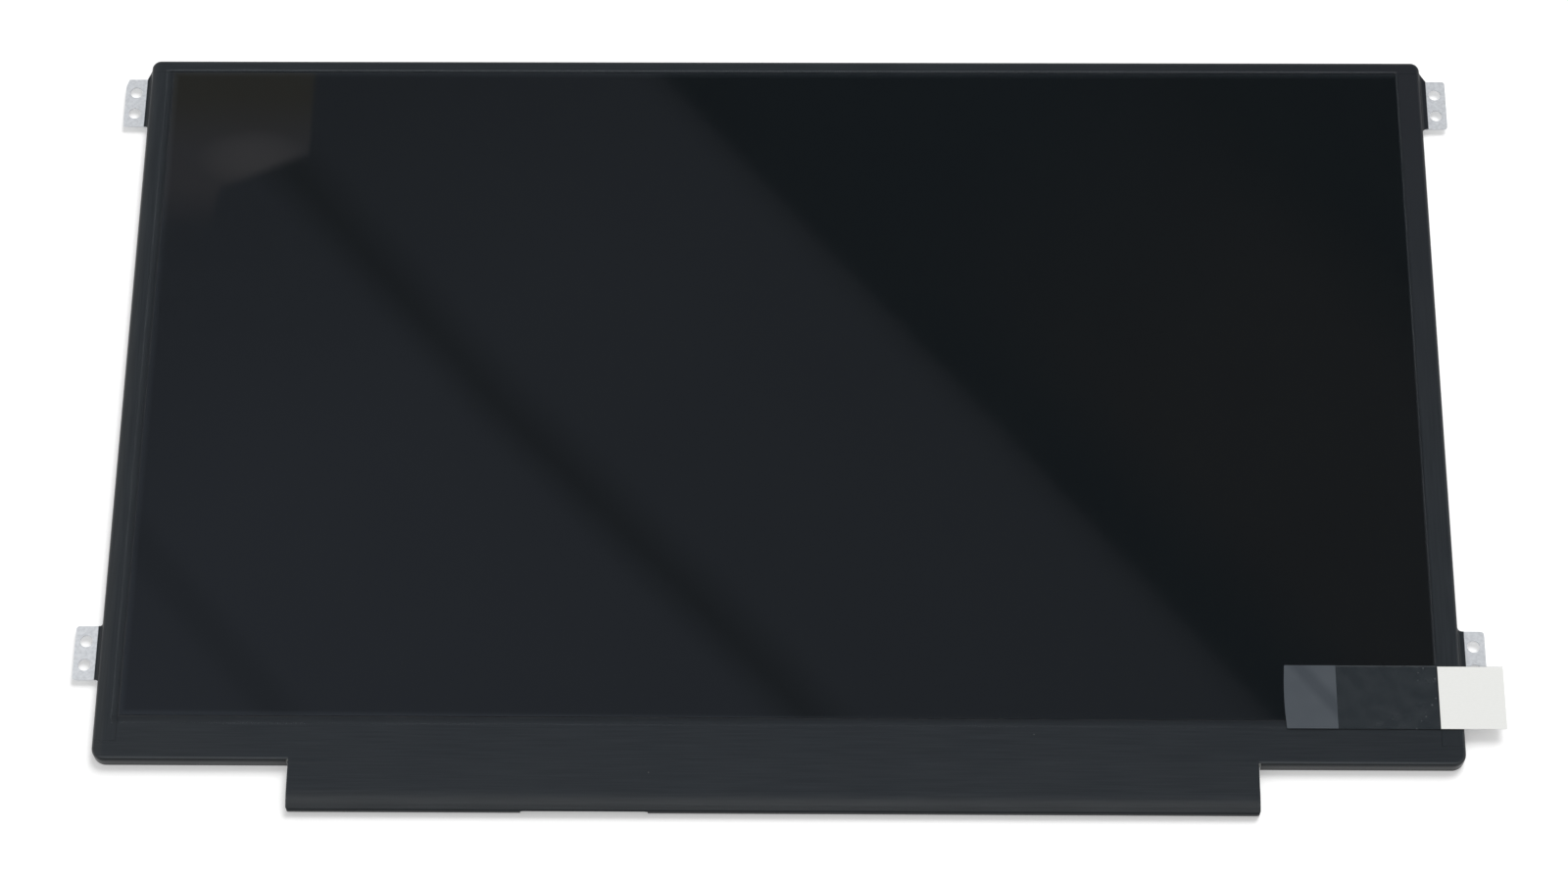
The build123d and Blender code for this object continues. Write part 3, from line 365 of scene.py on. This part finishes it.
def dark_polarizer():
    """Dark film with a hard glossy face, and a painted reflection that lightens it towards the edges, where
    the clear film lifts.
    """
    made = Finish("polarizer_film")
    cloud = made.noise(SCREEN_CLOUD, detail=1.0)
    low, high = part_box("front_polarizer")
    x, y = made.axes()
    left = made.spread(made.math("SUBTRACT", x, low[0]), *MARGIN_LEFT, 1.0, 0.0)
    right = made.spread(made.math("SUBTRACT", high[0], x), *MARGIN_RIGHT, 1.0, 0.0)
    top = made.spread(made.math("SUBTRACT", high[1], y), *MARGIN_TOP, 1.0, 0.0)
    over_foot = made.math("SUBTRACT", y, low[1], made.spread(x, *FOOT_X, FOOT_RISE, 0.0))
    bottom = made.spread(over_foot, -FOOT_SOFT, FOOT_SOFT, 1.0, 0.0)
    margin_sheen = made.math("MAXIMUM", left, right, bottom, top)
    # painted reflection: the screen lightens towards its edges
    made.colour(margin_sheen, made.mix(cloud, SCREEN_DARK, SCREEN_LIGHT), MARGIN_SHEEN_COLOUR)
    made.roughness(cloud, *SCREEN_ROUGH)
    return made.material


# Protective film
CLEAR_COLOUR = (0.75, 0.80, 0.84)
CLEAR_CLOUD = 25.0 * MM
CLEAR_ROUGH = (0.30, 0.40)
EDGE_LINE = (0.45 * MM, 0.15 * MM)  # from the cut edge, where its pale line starts and where it is full
EDGE_ALPHA = 0.012
EDGE_THIN = 0.4  # share of the line that is left where it is faintest
FOOT_LINE = (0.6 * MM, 1.5 * MM)  # the line is fainter along the bottom edge
FOOT_SHARE = 0.45
TOP_LINE = (0.40 * MM, 0.15 * MM)  # and stronger along the top edge
TOP_ALPHA = 0.020


def clear_film():
    """Clear film: see-through but for its cut edge."""
    made = Finish("clear_film", colour=CLEAR_COLOUR)
    low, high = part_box("protective_film")
    x, y = made.axes()
    from_bottom = made.math("SUBTRACT", y, low[1])
    from_top = made.math("SUBTRACT", high[1], y)
    inside = made.math("MINIMUM", made.math("SUBTRACT", x, low[0]), made.math("SUBTRACT", high[0], x),
                       from_bottom, from_top)
    cloud = made.noise(CLEAR_CLOUD)
    made.roughness(cloud, *CLEAR_ROUGH)
    edge = made.math("MULTIPLY", made.spread(inside, *EDGE_LINE, 0.0, EDGE_ALPHA),
                     made.spread(cloud, *NOISE_CORE, EDGE_THIN, 1.0),
                     made.spread(from_bottom, *FOOT_LINE, FOOT_SHARE, 1.0))
    top_line = made.spread(from_top, *TOP_LINE, 0.0, TOP_ALPHA)
    made.give("Alpha", made.math("MAXIMUM", edge, top_line))
    return made.material


# Clear strip of the pull tab
TAB_COLOUR = (0.022, 0.028, 0.032)
TAB_CLOUD = 3.0 * MM
TAB_ROUGH = (0.25, 0.40)
TAB_ALPHA = (0.76, 0.84)
TAB_END = 0.4 * MM  # length over which it clears towards the grip, and what is left of it there
TAB_END_SHARE = 0.15
BUBBLES = (1.1 * MM, 0.26 * MM, 0.30)  # spacing, size, share of the cells
BUBBLE_COLOUR = (0.130, 0.140, 0.145)
BUBBLES_BY_GRIP = (5.0 * MM, 2.5 * MM)  # where they start and where they are full, from the grip
BUBBLES_BY_FOOT = (2.5 * MM, 1.2 * MM)  # and from the lower edge
TAB_LINE = (0.35 * MM, 0.15 * MM)  # pale line along the top edge
TAB_LINE_SHARE = 0.27


def clear_strip():
    """Smoky clear tape with a few bubbles."""
    made = Finish("strip_film")
    low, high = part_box("tab_strip")
    x, y = made.axes()
    by_grip = made.spread(made.math("SUBTRACT", GRIP_EDGE, x), *BUBBLES_BY_GRIP)
    by_foot = made.spread(made.math("SUBTRACT", y, low[1]), *BUBBLES_BY_FOOT)
    bubbles = made.math("MULTIPLY", made.specks(*BUBBLES), made.math("MAXIMUM", by_grip, by_foot))
    top_line = made.spread(made.math("SUBTRACT", high[1], y), *TAB_LINE, 0.0, TAB_LINE_SHARE)
    made.colour(made.math("MAXIMUM", bubbles, top_line), TAB_COLOUR, BUBBLE_COLOUR)
    cloud = made.noise(TAB_CLOUD)
    made.roughness(cloud, *TAB_ROUGH)
    on_screen = made.spread(x, GRIP_EDGE - TAB_END, GRIP_EDGE, 1.0, TAB_END_SHARE)
    made.give("Alpha", made.math("MULTIPLY", made.spread(cloud, *NOISE_WIDE, *TAB_ALPHA), on_screen))
    return made.material


# Grey end of the pull tab
PATCH_DARK = (0.068, 0.078, 0.089)
PATCH_LIGHT = (0.076, 0.087, 0.098)
PATCH_CLOUD = 4.0 * MM
PATCH_ROUGH = (0.10, 0.18)
REFLECTED_BAND_COLOUR = (0.056, 0.065, 0.075)  # painted reflection: a faint darker band across it, in line with the ceiling's bands
BAND_SLANT = math.radians(40.0)
BAND_PLACE = 40.8 * MM
BAND_FADE = (0.6 * MM, 2.0 * MM)


def grey_patch():
    """Frosted grey end of the tab, with a painted reflection of a darker band across it."""
    made = Finish("patch_film")
    cloud = made.noise(PATCH_CLOUD)
    frost = made.mix(cloud, PATCH_DARK, PATCH_LIGHT)
    x, y = made.axes()
    slant = made.math("ADD", made.math("MULTIPLY", x, math.cos(BAND_SLANT)),
                      made.math("MULTIPLY", y, math.sin(BAND_SLANT)))
    # painted reflection of the ceiling's dark band
    made.colour(made.spread(made.off(slant, BAND_PLACE), *BAND_FADE, 1.0, 0.0), frost, REFLECTED_BAND_COLOUR)
    made.roughness(cloud, *PATCH_ROUGH)
    return made.material


# White grip of the pull tab
PAPER_DARK = (0.765, 0.77, 0.745)
PAPER_LIGHT = (0.83, 0.835, 0.815)
PAPER_ROUGH = (0.45, 0.6)
FIBRE = 0.25 * MM
FIBRE_H = 0.004 * MM
FIBRE_STRETCH = (3.0, 1.0, 1.0)


def coated_paper():
    """White coated paper with faint fibres."""
    made = Finish("grip_paper")
    fibre = made.noise(FIBRE, detail=4.0, stretch=FIBRE_STRETCH)
    made.colour(fibre, PAPER_DARK, PAPER_LIGHT)
    made.roughness(fibre, *PAPER_ROUGH)
    made.bump((fibre, FIBRE_H))
    return made.material


# Moulded and cut materials of the inner pieces
PLAIN_ROUGH = 0.06  # how far the roughness varies either way
PLAIN_H = 0.004 * MM
FLAT = {"relief": 0.0}
METAL = {"metallic": 1.0}
PLAIN_LOOKS = (  # slot, darkest and lightest colour, roughness, size of the grains, what else differs
    ("frame_plastic", (0.72, 0.72, 0.70), (0.82, 0.82, 0.80), 0.5, 0.3 * MM, {}),
    ("reflector_white", (0.84, 0.84, 0.83), (0.90, 0.90, 0.89), 0.3, 1.0 * MM, {}),
    ("guide_acrylic", (0.78, 0.84, 0.84), (0.86, 0.90, 0.90), 0.12, 2.0 * MM, {}),
    ("optical_film", (0.76, 0.78, 0.78), (0.84, 0.86, 0.86), 0.25, 0.2 * MM, {}),
    ("flex_film", (0.34, 0.15, 0.035), (0.48, 0.24, 0.07), 0.3, 1.5 * MM, {}),
    ("led_package", (0.80, 0.79, 0.70), (0.88, 0.87, 0.80), 0.3, 0.4 * MM, {}),
    ("panel_glass", (0.010, 0.0125, 0.0145), (0.012, 0.0148, 0.0170), 0.35, 5.0 * MM, FLAT),
    ("board_laminate", (0.02, 0.13, 0.055), (0.045, 0.20, 0.09), 0.35, 1.2 * MM, {}),
    ("chip_epoxy", (0.014, 0.014, 0.014), (0.03, 0.03, 0.03), 0.5, 0.1 * MM, {}),
    ("coil_ferrite", (0.04, 0.04, 0.04), (0.08, 0.08, 0.08), 0.6, 0.15 * MM, {}),
    ("cap_ceramic", (0.38, 0.28, 0.17), (0.52, 0.41, 0.28), 0.4, 0.2 * MM, {}),
    ("socket_metal", (0.66, 0.66, 0.64), (0.80, 0.80, 0.78), 0.3, 0.3 * MM, METAL),
    ("socket_plastic", (0.68, 0.65, 0.55), (0.80, 0.77, 0.68), 0.45, 0.3 * MM, {}),
    ("contact_gold", (0.72, 0.50, 0.16), (0.90, 0.68, 0.30), 0.25, 0.1 * MM, METAL),
)


def plain(name, dark, light, rough, size, relief=PLAIN_H, **values):
    """A moulded or cut material whose colour and gloss vary a little over grains of this size."""
    made = Finish(name, **values)
    grain = made.noise(size, detail=3.0)
    made.colour(made.spread(grain, *NOISE_WIDE), dark, light)
    made.roughness(grain, rough - PLAIN_ROUGH, rough + PLAIN_ROUGH)
    made.bump((grain, relief))
    return made.material


def dress(node, finish):
    """Gives a CAD node its finish."""
    mesh = frame["nodes"][node].data
    mesh.materials.clear()
    mesh.materials.append(finish)


finishes = {
    "cover_metal": rolled_metal(),
    "black_tape": black_film("black_tape", (DRAWN_LONG, 1.0, 1.0)),
    "polarizer_film": dark_polarizer(),
    "clear_film": clear_film(),
    "patch_film": grey_patch(),
    "grip_paper": coated_paper(),
}
for slot, *look, others in PLAIN_LOOKS:
    finishes[slot] = plain(slot, *look, **others)
for entry in frame["record"]["subparts"]:
    dress(entry["node"], finishes[entry["material_slot"]])
side_tape = black_film("side_tape", (1.0, DRAWN_LONG, 1.0))
dress("left_tape", side_tape)
dress("right_tape", side_tape)
dress("tab_strip", clear_strip())


def sheet(name, x_range, near, far, turn=0.0):
    """A flat stage card between two edges at these (y, z), turned about the vertical axis at the origin."""
    left, right = x_range
    mesh = bpy.data.meshes.new(name)
    mesh.from_pydata([(left, *near), (right, *near), (right, *far), (left, *far)], [], [(0, 1, 2, 3)])
    made = bpy.data.objects.new(name, mesh)
    made.rotation_euler.z = math.radians(turn)
    bpy.context.scene.collection.objects.link(made)
    made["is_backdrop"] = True
    return made


def unlit(name):
    """A finish that shows no light but what it gives off."""
    return Finish(name, colour=BLACK, roughness=1.0, specular=0.0)


def only_mirrored(made):
    """Leaves a card to reflections alone."""
    made.visible_camera = made.visible_diffuse = made.visible_transmission = made.visible_shadow = False


def seen(made):
    """1 for what the eye, a mirror or clear stuff sees, 0 for light that falls on other things."""
    rays = made.node("LightPath").outputs
    ways = [rays[kind] for kind in ("Is Camera Ray", "Is Glossy Ray", "Is Transmission Ray")]
    return made.math("MINIMUM", made.math("ADD", *ways), 1.0)


# Table: matt white, lifted to full white where the eye sees it, so that only the shadow is left
floor = sheet("floor", (-FLOOR_HALF, FLOOR_HALF), (-FLOOR_HALF, FLOOR_Z), (FLOOR_HALF, FLOOR_Z))
table = Finish("floor_white", colour=FLOOR_COLOUR, roughness=FLOOR_ROUGH, specular=0.0)
table.shine(WHITE, table.math("MULTIPLY", seen(table), FLOOR_LIFT))
floor.data.materials.append(table.material)

# Ceiling card, facing down
across_low, across_high = CARD_ACROSS
card = sheet("ceiling_card", CARD_ALONG, (across_high, CARD_HEIGHT), (across_low, CARD_HEIGHT), CARD_TURN)
bands = unlit("ceiling_bands")
along, across = bands.axes()
bend = bands.math("MULTIPLY", bands.spread(across, *BEND_RISE),
                  bands.spread(across, *BEND_FALL, 1.0, BEND_BEYOND),
                  bands.spread(along, *BEND_ALONG, 0.0, BEND))
across = bands.math("SUBTRACT", across, bend)
first, last = CARD_BANDS[0][0], CARD_BANDS[-1][0]
ramp = bands.node("ValToRGB", {"Fac": bands.spread(across, first, last)})
stops = ramp.color_ramp.elements
while len(stops) < len(CARD_BANDS):
    stops.new(0.5)
for stop, (place, level, tint) in zip(stops, CARD_BANDS):
    stop.position = (place - first) / (last - first)
    stop.color = (*(level * c for c in tint), 1.0)
glow = bands.math("MULTIPLY", bands.spread(across, *GLOW_RISE), bands.spread(across, *GLOW_FALL, 1.0, 0.0),
                  bands.spread(along, *GLOW_ALONG))
warmed = bands.mix(glow, ramp.outputs[0], GLOW, blend_type="ADD")
bands.shine(warmed, bands.spread(along, *FADE_ALONG, FADE, 1.0))
card.data.materials.append(bands.material)
only_mirrored(card)

# Warm corner card, facing down, soft along its lower edge
corner_low, corner_high = CORNER_Y
corner = sheet("corner_card", CORNER_X, (corner_high, CORNER_HEIGHT), (corner_low, CORNER_HEIGHT))
warm = unlit("corner_warm")
x, y = warm.axes()
edge = CORNER_EDGE[0][1]
for (start, low), (end, high) in zip(CORNER_EDGE, CORNER_EDGE[1:]):
    edge = warm.math("ADD", warm.spread(x, start, end, 0.0, high - low), edge)
soft = warm.spread(x, CORNER_EDGE[0][0], CORNER_EDGE[1][0], *CORNER_SOFT)
above = warm.math("DIVIDE", warm.math("SUBTRACT", y, edge), soft)
body = warm.mix(warm.spread(y, *CORNER_TURN), CORNER_WARM, CORNER_GREY)
from_spot = [warm.math("POWER", warm.math("DIVIDE", warm.math("SUBTRACT", value, middle), size), 2.0)
             for value, middle, size in zip((x, y), CORNER_SPOT, CORNER_SPOT_SIZE)]
spot = warm.spread(warm.math("ADD", *from_spot), 0.0, 1.0, 1.0, 0.0)
warm.shine(warm.mix(spot, body, CORNER_PALE), 1.0)
warm.give("Alpha", warm.spread(above, -1.0, 1.0))
corner.data.materials.append(warm.material)
only_mirrored(corner)

# Cards in front
for name, level, near, far in FRONT_CARDS:
    front = sheet(name, FRONT_X, near, far)
    light = unlit(name)
    light.shine(WHITE, level)
    front.data.materials.append(light.material)
    only_mirrored(front)

# Lamp
key_length = math.sqrt(sum(v * v for v in KEY_FROM))
lamp = bpy.data.lights.new("key", "AREA")
lamp.size = KEY_SIZE
lamp.energy = KEY_POWER
key = bpy.data.objects.new("key", lamp)
key.location = [KEY_DISTANCE * v / key_length for v in KEY_FROM]
key.rotation_euler = key.location.to_track_quat("Z", "Y").to_euler()
key.visible_glossy = False
bpy.context.scene.collection.objects.link(key)

# Sky: even light, white where it is seen
world = bpy.data.worlds.new("sky")
bpy.context.scene.world = world
world.use_nodes = True
sky = Nodes(world.node_tree, "Background")
sky.give("Color", WHITE)
sky.give("Strength", sky.spread(seen(sky), 0.0, 1.0, SKY, 1.0))

# Camera
lens = bpy.data.cameras.new("camera")
lens.lens = CAMERA_LENS
lens.sensor_width = CAMERA_SENSOR
lens.clip_start = CAMERA_NEAR
camera = bpy.data.objects.new("camera", lens)
camera.location = CAMERA_PLACE
camera.rotation_euler = [math.radians(v) for v in CAMERA_TURN]
bpy.context.scene.collection.objects.link(camera)
bpy.context.scene.camera = camera
bpy.context.scene.view_settings.view_transform = "Standard"

low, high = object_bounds()
